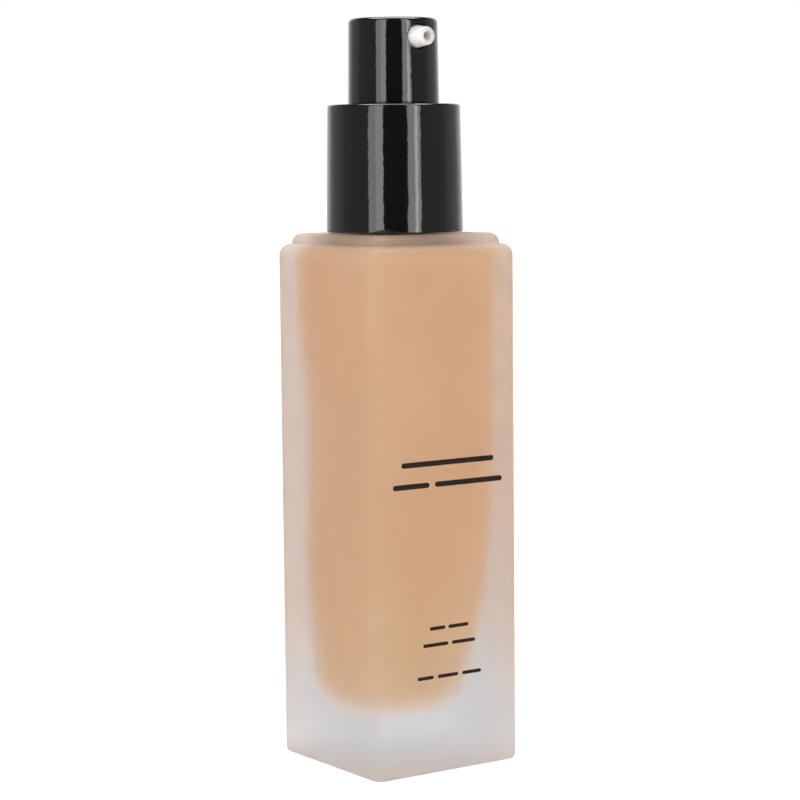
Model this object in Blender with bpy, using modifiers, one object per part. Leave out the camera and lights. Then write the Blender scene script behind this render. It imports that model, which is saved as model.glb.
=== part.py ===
"""Pump bottle for liquid foundation.

A square frosted glass bottle with a raised square tier on its shoulder, its fill, a screw closure under a
tapered collar sleeve, a treatment pump, and a press head with a side nozzle.

Metres, +Z up. The origin is the centre of the underside, on the axis of the bottle, which is also the axis
of every joint. The label face and the nozzle look along -Y.
"""
import math

import bmesh
import bpy
from mathutils import Matrix, Vector

# Glass body
BODY_WIDTH = 0.0300
BODY_HEIGHT = 0.0892
BODY_CORNER_RADIUS = 0.0022
BODY_TOP_RADIUS = 0.0020
BODY_BOTTOM_RADIUS = 0.0010
PUSH_UP_RADIUS = 0.0095
PUSH_UP_DEPTH = 0.0005

# Square tier on the shoulder
TIER_WIDTH = 0.0268
TIER_HEIGHT = 0.0018
TIER_CORNER_RADIUS = 0.0023
TIER_TOP_RADIUS = 0.0017
SHOULDER = BODY_HEIGHT + TIER_HEIGHT

# Cavity: a square section that narrows downwards, with a bulb at the bottom and a dome under the shoulder.
# As in other blown glass, its axis wanders a little: the drift is towards +X -Y.
CAVITY_BOTTOM = 0.0097
CAVITY_TOP = 0.0886
CAVITY_HALF_WIDTHS = ((0.0097, 0.0084), (0.0200, 0.0102), (0.0340, 0.0115), (0.0640, 0.0121),
                      (0.0780, 0.0130))
CAVITY_DRIFT = ((0.0130, -0.0017), (0.0260, -0.0004), (0.0360, 0.0), (0.0580, 0.0010), (0.0760, 0.0002))
CAVITY_BULB = 0.0045
CAVITY_DOME = 0.0022
CAVITY_MOUTH = 0.0906
CAVITY_MOUTH_RADIUS = 0.0056
CAVITY_SQUARENESS = 5.3
BULB_SQUARENESS = 2.7
SQUARING_HEIGHT = 0.0200
FILL_GAP = 0.00025
PUMP_ROOM = 0.0003

# Threaded neck
NECK_RADIUS = 0.0078
NECK_BORE_RADIUS = 0.0048
NECK_TOP = 0.1016
NECK_LIP_RADIUS = 0.0004
THREAD_PITCH = 0.003175
THREAD_DEPTH = 0.00105
THREAD_ROOT_WIDTH = 0.0014
THREAD_CREST_WIDTH = 0.0007
NECK_THREAD_START = 0.0957
NECK_THREAD_TURNS = 1.25
CAP_THREAD_TURNS = 1.0
THREAD_SINK = 0.0003
THREAD_FADE_TURNS = 0.125
THREAD_LEAST_SHARE = 0.08

# Closure
CAP_BOTTOM = 0.0917
CAP_TOP = 0.10485
CAP_WALL = 0.0011
CAP_INNER_RADIUS = 0.0091
CAP_OUTER_RADIUS = 0.0100
CAP_RIB_HEIGHT = 0.0003
CAP_RIBS = 40
CAP_RIB_TOP = 0.1037
CAP_CHAMFER = 0.0005
CAP_LEAD_IN = 0.0004
CAP_HOLE_RADIUS = 0.0060

# Collar sleeve over the closure
SLEEVE_BOTTOM = 0.09125
SLEEVE_TOP = 0.1128
SLEEVE_BOTTOM_RADIUS = 0.0117
SLEEVE_TOP_RADIUS = 0.01133
SLEEVE_WALL = 0.0009
SLEEVE_EDGE_RADIUS = 0.0005
SLEEVE_HOLE_RADIUS = 0.0081

# Pump
GASKET_BOTTOM = 0.10175
GASKET_TOP = 0.10245
FLANGE_BOTTOM = 0.1026
FLANGE_TOP = 0.1036
FLANGE_RADIUS = 0.0077
BARREL_RADIUS = 0.0045
BARREL_BORE_RADIUS = 0.0037
SPRING_SEAT = 0.0783
BARREL_TAPER_TOP = 0.0775
BARREL_TAPER_BOTTOM = 0.0761
BARREL_TAPER_RADIUS = 0.0030
BALL_CHAMBER_RADIUS = 0.0019
BALL_CHAMBER_BOTTOM = 0.0755
BALL_LIP_RADIUS = 0.0013
BALL_LIP_HEIGHT = 0.0004
BALL_RADIUS = 0.0015
BALL_SEAT_RADIUS = 0.0009
BALL_SEAT_HEIGHT = 0.0744
BALL_GAP = 0.00005
SOCKET_TOP = 0.0739
SOCKET_BOTTOM = 0.0672
SOCKET_OUTER_RADIUS = 0.0026
SOCKET_BORE_RADIUS = 0.0016
CHAPLET_TOP = 0.1054
CHAPLET_COLLAR_RADIUS = 0.0057
CHAPLET_SKIRT_BOTTOM = 0.0995
CHAPLET_SKIRT_RADIUS = 0.0035
DIP_TUBE_BOTTOM = 0.0128
DIP_TUBE_RADIUS = 0.00145
DIP_TUBE_BORE_RADIUS = 0.00095
DIP_TUBE_SLANT = math.radians(40)

# Stem, piston and spring, at rest
STEM_RADIUS = 0.0020
STEM_BORE_RADIUS = 0.0011
STEM_SHANK_RADIUS = 0.0015
STEM_TOP = 0.1188
STEM_SHOULDER = 0.0980
STEM_BOTTOM = 0.0928
STEM_PORT = 0.0945
STEM_PORT_RADIUS = 0.0004
PISTON_BOTTOM = 0.0923
PISTON_TOP = 0.0985
PISTON_HUB_BOTTOM = 0.09275
PISTON_HUB_TOP = 0.0972
PISTON_WEB_BOTTOM = 0.0952
PISTON_WEB_TOP = 0.0962
PISTON_HUB_WALL = 0.0003
PISTON_LIP_GAP = 0.0001
PISTON_LIP_HEIGHT = 0.0008
PISTON_LIP_FLARE = 0.00015
SEAT_FLANGE_RADIUS = 0.00295
SEAT_FLANGE_TOP = 0.09265
SEAT_FLANGE_BOTTOM = 0.0915
SEAT_POST_BOTTOM = 0.0885
SEAT_PIN_HEIGHT = 0.0011
SPRING_RADIUS = 0.0026
SPRING_WIRE_RADIUS = 0.0003
SPRING_TURNS = 8
SPRING_STEPS = 14
SPRING_END_PITCH = 2.2 * SPRING_WIRE_RADIUS

# Press head
HEAD_BOTTOM = 0.1112
HEAD_TOP = 0.12726
HEAD_BOTTOM_RADIUS = 0.00779
HEAD_TOP_RADIUS = 0.00757
HEAD_WALL = 0.0009
HEAD_EDGE_RADIUS = 0.0008
NOZZLE_HEIGHT = 0.1240
NOZZLE_ROOT = 0.0062
NOZZLE_TIP = 0.0103
NOZZLE_ROOT_RADIUS = 0.0020
NOZZLE_TIP_RADIUS = 0.00153
NOZZLE_EDGE_RADIUS = 0.0004
NOZZLE_BORE_RADIUS = 0.00075
NOZZLE_HOLE_RADIUS = 0.0022
SPIGOT_RADIUS = 0.0011
SPIGOT_LENGTH = 0.0016
BOSS_RADIUS = 0.0021
BOSS_BORE_RADIUS = 0.00125
BOSS_START = 0.0020
CORE_BOTTOM = 0.1113
CORE_HUB_RADIUS = 0.0034
CORE_DISC_RADIUS = 0.0062
CORE_DISC_BOTTOM = 0.1250
CORE_TOP = 0.1260
STEM_SOCKET_RADIUS = 0.00215
STEM_SOCKET_TOP = 0.1190
CHANNEL_RADIUS = 0.0010
OUTLET_RADIUS = 0.0009
RIB_COUNT = 4
RIB_START = 0.0026
RIB_THICKNESS = 0.0007
RIB_HEIGHT = 0.0060

# Common to several parts
CLEARANCE = 0.00015
CHAMFER = 0.0003
LIP_RADIUS = 0.0002
OVERSHOOT = 0.0010
MERGE = 0.00001


def clear_scene():
    for obj in list(bpy.data.objects):
        bpy.data.objects.remove(obj, do_unlink=True)


def collection(name):
    made = bpy.data.collections.new(name)
    bpy.context.scene.collection.children.link(made)
    return made


def material(name, colour, roughness, metallic=0.0, transmission=0.0):
    made = bpy.data.materials.new(name)
    made.use_nodes = True
    shader = made.node_tree.nodes["Principled BSDF"]
    shader.inputs["Base Color"].default_value = (*colour, 1.0)
    shader.inputs["Roughness"].default_value = roughness
    shader.inputs["Metallic"].default_value = metallic
    shader.inputs["Transmission Weight"].default_value = transmission
    return made


def make_cutter(obj):
    obj.hide_render = True
    obj.display_type = "WIRE"
    return obj


def add_object(name, mesh, where, surface=None):
    """An object of this mesh in a collection; one with no surface is a cutter."""
    obj = bpy.data.objects.new(name, mesh)
    where.objects.link(obj)
    if surface is None:
        return make_cutter(obj)
    mesh.materials.append(surface)
    mesh.shade_smooth()
    mesh.set_sharp_from_angle(angle=math.radians(35))
    return obj


def from_bmesh(name, bm, where, surface=None):
    bmesh.ops.recalc_face_normals(bm, faces=bm.faces)
    mesh = bpy.data.meshes.new(name)
    bm.to_mesh(mesh)
    bm.free()
    return add_object(name, mesh, where, surface)


def turned(name, profile, where, surface=None, steps=32, closed=True):
    """Turns (radius, z) points about Z. They run down the outer side and, where closed, up the inner side."""
    mesh = bpy.data.meshes.new(name)
    count = len(profile)
    edges = [(i, (i + 1) % count) for i in range(count if closed else count - 1)]
    mesh.from_pydata([(radius, 0.0, z) for radius, z in profile], edges, [])
    obj = add_object(name, mesh, where, surface)
    screw = obj.modifiers.new("Turn", "SCREW")
    screw.axis = "Z"
    screw.angle = math.tau
    screw.steps = steps
    screw.render_steps = steps
    screw.use_merge_vertices = True
    screw.merge_threshold = MERGE
    screw.use_smooth_shade = True
    return obj


def arc(centre_radius, centre_z, radius, start_deg, end_deg, segments=4):
    """Points of a profile's rounded edge, angles from +X towards +Z."""
    points = []
    for i in range(segments + 1):
        angle = math.radians(start_deg + (end_deg - start_deg) * i / segments)
        points.append((centre_radius + radius * math.cos(angle), centre_z + radius * math.sin(angle)))
    return points


def loft(rings):
    """A closed surface through rings of equally many points, with a flat cap at each end."""
    bm = bmesh.new()
    rows = [[bm.verts.new(point) for point in ring] for ring in rings]
    count = len(rows[0])
    for low, high in zip(rows, rows[1:]):
        for i in range(count):
            j = (i + 1) % count
            bm.faces.new((low[i], low[j], high[j], high[i]))
    bm.faces.new(reversed(rows[0]))
    bm.faces.new(rows[-1])
    return bm


def boolean(obj, other, operation="DIFFERENCE"):
    modifier = obj.modifiers.new(other.name, "BOOLEAN")
    modifier.operation = operation
    modifier.object = other
    modifier.solver = "EXACT"
    return obj


def rounded_block(width, height, bottom, corner_radius, top_radius, bottom_radius, segments=5):
    """A square block with rounded upright edges, then rounded top and bottom edges."""
    bm = bmesh.new()
    bmesh.ops.create_cube(bm, size=1.0)
    bmesh.ops.scale(bm, vec=(width, width, height), verts=bm.verts)
    bmesh.ops.translate(bm, vec=(0, 0, bottom + height / 2), verts=bm.verts)
    upright = [e for e in bm.edges if abs(e.verts[0].co.z - e.verts[1].co.z) > height / 2]
    bmesh.ops.bevel(bm, geom=upright, offset=corner_radius, segments=segments, profile=0.5, affect="EDGES")
    for level, radius in ((bottom + height, top_radius), (bottom, bottom_radius)):
        rim = [e for e in bm.edges if all(abs(v.co.z - level) < MERGE for v in e.verts)]
        if radius:
            bmesh.ops.bevel(bm, geom=rim, offset=radius, segments=segments, profile=0.5, affect="EDGES")
    return bm


def cylinder(radius, bottom, top, segments=32):
    bm = bmesh.new()
    bmesh.ops.create_cone(bm, cap_ends=True, segments=segments, radius1=radius, radius2=radius,
                          depth=top - bottom)
    bmesh.ops.translate(bm, vec=(0, 0, (top + bottom) / 2), verts=bm.verts)
    return bm


def towards_nozzle(obj, height):
    """Lays a piece turned about Z along -Y, at a height on the axis."""
    obj.rotation_euler = (math.radians(90), 0, 0)
    obj.location = (0, 0, height)
    return obj


def slope_at(points, i):
    """The slope of a curve through (height, value) points at point i, from its neighbours."""
    low = points[max(i - 1, 0)]
    high = points[min(i + 1, len(points) - 1)]
    return (high[1] - low[1]) / (high[0] - low[0])


def smooth_value(points, z):
    """The value at a height on a smooth curve through (height, value) points, level beyond both ends."""
    if z <= points[0][0]:
        return points[0][1]
    if z >= points[-1][0]:
        return points[-1][1]
    i = max(n for n, point in enumerate(points) if point[0] <= z)
    (z_low, low), (z_high, high) = points[i], points[i + 1]
    span = z_high - z_low
    t = (z - z_low) / span
    rise = (3 - 2 * t) * t * t
    bend_low = slope_at(points, i) * span * t * (1 - t) ** 2
    bend_high = slope_at(points, i + 1) * span * t * t * (t - 1)
    return low + (high - low) * rise + bend_low + bend_high


def rounding(radius, share):
    """How far a quarter round has drawn in: nothing where share is 1, the whole radius where it is 0."""
    return radius * (1 - math.sqrt(1 - (1 - share) ** 2))


def cavity_ring(z, inset, points=40):
    """One level of the cavity: a superellipse, drawn in towards the bulb's floor and the dome's roof."""
    floor, roof = CAVITY_BOTTOM + inset, CAVITY_TOP - inset
    half = smooth_value(CAVITY_HALF_WIDTHS, z) - inset
    half -= rounding(CAVITY_BULB, min(1.0, (z - floor) / CAVITY_BULB))
    half -= rounding(CAVITY_DOME, min(1.0, (roof - z) / CAVITY_DOME))
    squared = min(1.0, (z - floor) / SQUARING_HEIGHT)
    squareness = BULB_SQUARENESS + (CAVITY_SQUARENESS - BULB_SQUARENESS) * squared
    drift = smooth_value(CAVITY_DRIFT, z) / math.sqrt(2)
    ring = []
    for i in range(points):
        angle = math.tau * (i + 0.5) / points
        c, s = math.cos(angle), math.sin(angle)
        reach = half * (abs(c) ** squareness + abs(s) ** squareness) ** (-1 / squareness)
        ring.append((reach * c + drift, reach * s - drift, z))
    return ring


def cavity_form(name, where, inset=0.0, surface=None):
    """The cavity as a solid, or the fill in it, inset from the walls; a cone leads up to the neck."""
    floor = CAVITY_BOTTOM + inset
    roof = CAVITY_TOP - inset
    bulb_steps, wall_steps, dome_steps = 6, 9, 5
    levels = [floor + CAVITY_BULB * (1 - math.cos(math.radians(90 * i / bulb_steps)))
              for i in range(bulb_steps + 1)]
    wall = (roof - CAVITY_DOME) - levels[-1]
    levels += [levels[-1] + wall * i / wall_steps for i in range(1, wall_steps + 1)]
    levels += [roof - CAVITY_DOME * (1 - math.sin(math.radians(90 * i / dome_steps)))
               for i in range(1, dome_steps + 1)]
    rings = [cavity_ring(z, inset) for z in levels]
    mouth = []
    for i in range(len(rings[0])):
        angle = math.tau * (i + 0.5) / len(rings[0])
        radius = CAVITY_MOUTH_RADIUS - inset
        mouth.append((radius * math.cos(angle), radius * math.sin(angle), CAVITY_MOUTH - inset))
    return from_bmesh(name, loft([*rings, mouth]), where, surface)


def thread_ridge(name, root_radius, crest_radius, start, turns, where, steps_per_turn=32):
    """A helical ridge from a root sunk in its wall to its crest, fading out at both ends."""
    steps = round(turns * steps_per_turn)
    inward = math.copysign(1.0, root_radius - crest_radius)
    sunk = root_radius + inward * THREAD_SINK
    fade = steps_per_turn * THREAD_FADE_TURNS
    rings = []
    for i in range(steps + 1):
        turn = i / steps_per_turn
        z = start + THREAD_PITCH * turn
        grown = min(1.0, i / fade, (steps - i) / fade)
        crest = root_radius + (crest_radius - root_radius) * max(grown, THREAD_LEAST_SHARE)
        section = ((sunk, -THREAD_ROOT_WIDTH / 2), (crest, -THREAD_CREST_WIDTH / 2),
                   (crest, THREAD_CREST_WIDTH / 2), (sunk, THREAD_ROOT_WIDTH / 2))
        spin = Matrix.Rotation(math.tau * turn, 4, "Z")
        rings.append([spin @ Vector((radius, 0, z + dz)) for radius, dz in section])
    return from_bmesh(name, loft(rings), where)


def make_bottle(parts, cutters, glass):
    body = rounded_block(BODY_WIDTH, BODY_HEIGHT, 0.0, BODY_CORNER_RADIUS, BODY_TOP_RADIUS,
                         BODY_BOTTOM_RADIUS)
    bottle = from_bmesh("glass_bottle", body, parts, glass)
    tier = from_bmesh("tier", rounded_block(TIER_WIDTH, TIER_HEIGHT + OVERSHOOT, BODY_HEIGHT - OVERSHOOT,
                                            TIER_CORNER_RADIUS, TIER_TOP_RADIUS, 0.0), cutters)
    lip = NECK_LIP_RADIUS
    neck = turned("neck", [(0.0, NECK_TOP), *arc(NECK_RADIUS - lip, NECK_TOP - lip, lip, 90, 0, 3),
                           (NECK_RADIUS, SHOULDER - OVERSHOOT), (0.0, SHOULDER - OVERSHOOT)],
                  cutters, closed=False)
    ridge = thread_ridge("neck_thread", NECK_RADIUS, NECK_RADIUS + THREAD_DEPTH, NECK_THREAD_START,
                         NECK_THREAD_TURNS, cutters)
    cavity = cavity_form("cavity", cutters)
    bore_bottom = CAVITY_MOUTH - OVERSHOOT
    bore = from_bmesh("neck_bore", cylinder(NECK_BORE_RADIUS, bore_bottom, NECK_TOP + OVERSHOOT), cutters)
    dome_steps = 4
    dome = [(PUSH_UP_RADIUS * i / dome_steps, PUSH_UP_DEPTH * (1 - (i / dome_steps) ** 2))
            for i in range(dome_steps + 1)]
    push_up = turned("push_up", [*dome, (PUSH_UP_RADIUS, -OVERSHOOT), (0.0, -OVERSHOOT)], cutters,
                     closed=False)
    for piece in (tier, neck, ridge):
        boolean(bottle, piece, "UNION")
    for piece in (cavity, bore, push_up):
        boolean(bottle, piece)
    return bottle


def make_fill(parts, cutters, liquid):
    fill = cavity_form("foundation_fill", parts, FILL_GAP, liquid)
    barrel = BARREL_RADIUS + PUMP_ROOM
    socket = SOCKET_OUTER_RADIUS + PUMP_ROOM
    tube = DIP_TUBE_RADIUS + PUMP_ROOM
    top = CAVITY_MOUTH + OVERSHOOT
    socket_low = SOCKET_BOTTOM - PUMP_ROOM
    tube_low = DIP_TUBE_BOTTOM - 2 * PUMP_ROOM
    pump_space = turned("pump_space", [
        (0.0, top), (barrel, top), (barrel, BARREL_TAPER_BOTTOM), (socket, SOCKET_TOP),
        (socket, socket_low), (tube, socket_low), (tube, tube_low), (0.0, tube_low),
    ], cutters, steps=24, closed=False)
    return boolean(fill, pump_space)


def make_gasket(parts, rubber):
    outer = FLANGE_RADIUS - CLEARANCE
    inner = BARREL_RADIUS + CLEARANCE
    return turned("neck_gasket", [(outer, GASKET_TOP), (outer, GASKET_BOTTOM), (inner, GASKET_BOTTOM),
                                  (inner, GASKET_TOP)], parts, rubber)


def make_cap(parts, cutters, plastic):
    rings = []
    for z, radius, rib in ((CAP_BOTTOM, CAP_OUTER_RADIUS, 0.0),
                           (CAP_BOTTOM + CAP_LEAD_IN, CAP_OUTER_RADIUS, CAP_RIB_HEIGHT),
                           (CAP_RIB_TOP, CAP_OUTER_RADIUS, CAP_RIB_HEIGHT),
                           (CAP_TOP - CAP_CHAMFER, CAP_OUTER_RADIUS, 0.0),
                           (CAP_TOP, CAP_OUTER_RADIUS - CAP_CHAMFER, 0.0)):
        ring = []
        for i in range(2 * CAP_RIBS):
            turn = Matrix.Rotation(math.tau * i / (2 * CAP_RIBS), 4, "Z")
            ring.append(turn @ Vector((radius + rib * (i % 2), 0, z)))
        rings.append(ring)
    cap = from_bmesh("screw_cap", loft(rings), parts, plastic)
    ceiling = CAP_TOP - CAP_WALL
    mouth = CAP_INNER_RADIUS + CAP_LEAD_IN
    hollow = turned("cap_hollow", [
        (0.0, CAP_TOP + OVERSHOOT), (CAP_HOLE_RADIUS, CAP_TOP + OVERSHOOT), (CAP_HOLE_RADIUS, ceiling),
        (CAP_INNER_RADIUS, ceiling), (CAP_INNER_RADIUS, CAP_BOTTOM + CAP_LEAD_IN), (mouth, CAP_BOTTOM),
        (mouth, CAP_BOTTOM - OVERSHOOT), (0.0, CAP_BOTTOM - OVERSHOOT),
    ], cutters, closed=False)
    ridge = thread_ridge("cap_thread", CAP_INNER_RADIUS, CAP_INNER_RADIUS - THREAD_DEPTH,
                         NECK_THREAD_START - THREAD_PITCH / 2, CAP_THREAD_TURNS, cutters)
    boolean(cap, hollow)
    return boolean(cap, ridge, "UNION")


def make_sleeve(parts, plastic):
    edge = SLEEVE_EDGE_RADIUS
    inner_top = SLEEVE_TOP_RADIUS - SLEEVE_WALL
    inner_bottom = SLEEVE_BOTTOM_RADIUS - SLEEVE_WALL
    lip = LIP_RADIUS
    profile = [
        (SLEEVE_HOLE_RADIUS + lip, SLEEVE_TOP),
        *arc(SLEEVE_TOP_RADIUS - edge, SLEEVE_TOP - edge, edge, 90, 0),
        (SLEEVE_BOTTOM_RADIUS, SLEEVE_BOTTOM + lip), (SLEEVE_BOTTOM_RADIUS - lip, SLEEVE_BOTTOM),
        (inner_bottom, SLEEVE_BOTTOM), (inner_top, SLEEVE_TOP - SLEEVE_WALL),
        (SLEEVE_HOLE_RADIUS, SLEEVE_TOP - SLEEVE_WALL), (SLEEVE_HOLE_RADIUS, SLEEVE_TOP - lip),
    ]
    return turned("collar_sleeve", profile, parts, plastic, steps=56)


def make_housing(parts, plastic):
    """Flanged barrel; below it the spring seat, the ball chamber with its lip, and the tube socket."""
    return turned("pump_housing", [
        (FLANGE_RADIUS, FLANGE_TOP), (FLANGE_RADIUS, FLANGE_BOTTOM), (BARREL_RADIUS, FLANGE_BOTTOM),
        (BARREL_RADIUS, BARREL_TAPER_TOP), (BARREL_TAPER_RADIUS, BARREL_TAPER_BOTTOM),
        (SOCKET_OUTER_RADIUS, SOCKET_TOP), (SOCKET_OUTER_RADIUS, SOCKET_BOTTOM),
        (SOCKET_BORE_RADIUS, SOCKET_BOTTOM), (SOCKET_BORE_RADIUS, SOCKET_TOP),
        (BALL_SEAT_RADIUS, SOCKET_TOP), (BALL_SEAT_RADIUS, BALL_SEAT_HEIGHT),
        (BALL_CHAMBER_RADIUS, BALL_CHAMBER_BOTTOM), (BALL_CHAMBER_RADIUS, SPRING_SEAT - BALL_LIP_HEIGHT),
        (BALL_LIP_RADIUS, SPRING_SEAT), (BARREL_BORE_RADIUS, SPRING_SEAT),
        (BARREL_BORE_RADIUS, FLANGE_TOP),
    ], parts, plastic, steps=36)


def make_chaplet(parts, plastic):
    guide = STEM_RADIUS + CLEARANCE
    collar_bottom = FLANGE_TOP + CLEARANCE
    return turned("chaplet", [
        (CHAPLET_COLLAR_RADIUS - CHAMFER, CHAPLET_TOP), (CHAPLET_COLLAR_RADIUS, CHAPLET_TOP - CHAMFER),
        (CHAPLET_COLLAR_RADIUS, collar_bottom), (CHAPLET_SKIRT_RADIUS, collar_bottom),
        (CHAPLET_SKIRT_RADIUS, CHAPLET_SKIRT_BOTTOM), (guide, CHAPLET_SKIRT_BOTTOM),
        (guide, CHAPLET_TOP - CHAMFER), (guide + CHAMFER, CHAPLET_TOP),
    ], parts, plastic)


def make_stem(parts, cutters, plastic):
    stem = turned("stem", [
        (STEM_RADIUS - CHAMFER, STEM_TOP), (STEM_RADIUS, STEM_TOP - CHAMFER), (STEM_RADIUS, STEM_SHOULDER),
        (STEM_SHANK_RADIUS, STEM_SHOULDER), (STEM_SHANK_RADIUS, STEM_BOTTOM),
        (STEM_BORE_RADIUS, STEM_BOTTOM), (STEM_BORE_RADIUS, STEM_TOP),
    ], parts, plastic, steps=24)
    reach = 2 * STEM_RADIUS
    ports = from_bmesh("stem_ports", cylinder(STEM_PORT_RADIUS, -reach, reach, 12), cutters)
    ports.rotation_euler = (math.radians(90), 0, 0)
    ports.location = (0, 0, STEM_PORT)
    return boolean(stem, ports)


def make_piston(parts, rubber):
    """A hub on the stem, a web, and an outer ring with a wiping lip at each end."""
    lip = BARREL_BORE_RADIUS - PISTON_LIP_GAP
    ring = lip - PISTON_LIP_FLARE
    inside = SEAT_FLANGE_RADIUS + CLEARANCE
    hole = STEM_SHANK_RADIUS + PISTON_LIP_GAP
    hub = hole + PISTON_HUB_WALL
    return turned("piston", [
        (lip, PISTON_TOP), (ring, PISTON_TOP - PISTON_LIP_HEIGHT), (ring, PISTON_BOTTOM + PISTON_LIP_HEIGHT),
        (lip, PISTON_BOTTOM), (inside, PISTON_BOTTOM + LIP_RADIUS), (inside, PISTON_WEB_BOTTOM),
        (hub, PISTON_WEB_BOTTOM), (hub, PISTON_HUB_BOTTOM), (hole, PISTON_HUB_BOTTOM), (hole, PISTON_HUB_TOP),
        (hub, PISTON_HUB_TOP), (hub, PISTON_WEB_TOP), (inside, PISTON_WEB_TOP),
        (inside, PISTON_TOP - LIP_RADIUS),
    ], parts, rubber)


def make_piston_seat(parts, plastic):
    """A pin in the stem's bore, the flange that the piston seals on, and a post inside the spring."""
    pin = STEM_BORE_RADIUS - CLEARANCE
    post = SPRING_RADIUS - SPRING_WIRE_RADIUS - CHAMFER
    pin_top = SEAT_FLANGE_TOP + SEAT_PIN_HEIGHT
    return turned("piston_seat", [
        (0.0, pin_top), (pin, pin_top - CHAMFER), (pin, SEAT_FLANGE_TOP),
        (SEAT_FLANGE_RADIUS, SEAT_FLANGE_TOP), (SEAT_FLANGE_RADIUS, SEAT_FLANGE_BOTTOM),
        (post, SEAT_FLANGE_BOTTOM), (post, SEAT_POST_BOTTOM + CHAMFER), (post - CHAMFER, SEAT_POST_BOTTOM),
        (0.0, SEAT_POST_BOTTOM),
    ], parts, plastic, steps=24, closed=False)


def make_spring(parts, steel):
    """A compression spring between the housing's seat and the plug's flange, its end turns closed up."""
    low = SPRING_SEAT + SPRING_WIRE_RADIUS + CLEARANCE
    high = SEAT_FLANGE_BOTTOM - SPRING_WIRE_RADIUS - CLEARANCE
    steps = SPRING_TURNS * SPRING_STEPS
    end_share = 1 / SPRING_TURNS
    end_rise = SPRING_END_PITCH / (high - low)
    curve = bpy.data.curves.new("return_spring", "CURVE")
    curve.dimensions = "3D"
    curve.bevel_depth = SPRING_WIRE_RADIUS
    curve.bevel_resolution = 1
    curve.use_fill_caps = True
    spline = curve.splines.new("POLY")
    spline.points.add(steps)
    for i in range(steps + 1):
        share = i / steps
        if share < end_share:
            rise = end_rise * share / end_share
        elif share > 1 - end_share:
            rise = 1 - end_rise * (1 - share) / end_share
        else:
            rise = end_rise + (1 - 2 * end_rise) * (share - end_share) / (1 - 2 * end_share)
        angle = math.tau * i / SPRING_STEPS
        spline.points[i].co = (SPRING_RADIUS * math.cos(angle), SPRING_RADIUS * math.sin(angle),
                               low + (high - low) * rise, 1.0)
    spring = bpy.data.objects.new("return_spring", curve)
    parts.objects.link(spring)
    curve.materials.append(steel)
    return spring


def make_ball(parts, steel):
    """The ball rests on the cone below its chamber."""
    slope = math.atan2(BALL_CHAMBER_BOTTOM - BALL_SEAT_HEIGHT, BALL_CHAMBER_RADIUS - BALL_SEAT_RADIUS)
    apex = BALL_CHAMBER_BOTTOM - BALL_CHAMBER_RADIUS * math.tan(slope)
    height = apex + (BALL_RADIUS + BALL_GAP) / math.cos(slope)
    bm = bmesh.new()
    bmesh.ops.create_uvsphere(bm, u_segments=20, v_segments=12, radius=BALL_RADIUS)
    ball = from_bmesh("check_ball", bm, parts, steel)
    ball.location = (0, 0, height)
    return ball


def make_dip_tube(parts, cutters, plastic):
    top = SOCKET_TOP - CLEARANCE
    tube = turned("dip_tube", [(DIP_TUBE_RADIUS, top), (DIP_TUBE_RADIUS, DIP_TUBE_BOTTOM),
                               (DIP_TUBE_BORE_RADIUS, DIP_TUBE_BOTTOM), (DIP_TUBE_BORE_RADIUS, top)],
                  parts, plastic, steps=20)
    cutter_size = 6 * DIP_TUBE_RADIUS
    bm = bmesh.new()
    bmesh.ops.create_cube(bm, size=cutter_size)
    slant = from_bmesh("dip_tube_slant", bm, cutters)
    turn = Matrix.Rotation(DIP_TUBE_SLANT, 3, "X")
    depth = DIP_TUBE_RADIUS * math.sin(DIP_TUBE_SLANT)
    slant.rotation_euler = turn.to_euler()
    slant.location = Vector((0, 0, DIP_TUBE_BOTTOM)) + turn @ Vector((0, 0, depth - cutter_size / 2))
    return boolean(tube, slant)


def make_shell(parts, cutters, plastic):
    edge = HEAD_EDGE_RADIUS
    lip = LIP_RADIUS
    inner_top = HEAD_TOP_RADIUS - HEAD_WALL
    inner_bottom = HEAD_BOTTOM_RADIUS - HEAD_WALL
    shell = turned("actuator_shell", [
        (0.0, HEAD_TOP), *arc(HEAD_TOP_RADIUS - edge, HEAD_TOP - edge, edge, 90, 0),
        (HEAD_BOTTOM_RADIUS, HEAD_BOTTOM + lip), (HEAD_BOTTOM_RADIUS - lip, HEAD_BOTTOM),
        (inner_bottom, HEAD_BOTTOM), (inner_top, HEAD_TOP - HEAD_WALL), (0.0, HEAD_TOP - HEAD_WALL),
    ], parts, plastic, steps=48, closed=False)
    drill = cylinder(NOZZLE_HOLE_RADIUS, HEAD_TOP_RADIUS / 2, 2 * HEAD_TOP_RADIUS)
    hole = from_bmesh("nozzle_hole", drill, cutters)
    return boolean(shell, towards_nozzle(hole, NOZZLE_HEIGHT))


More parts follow.
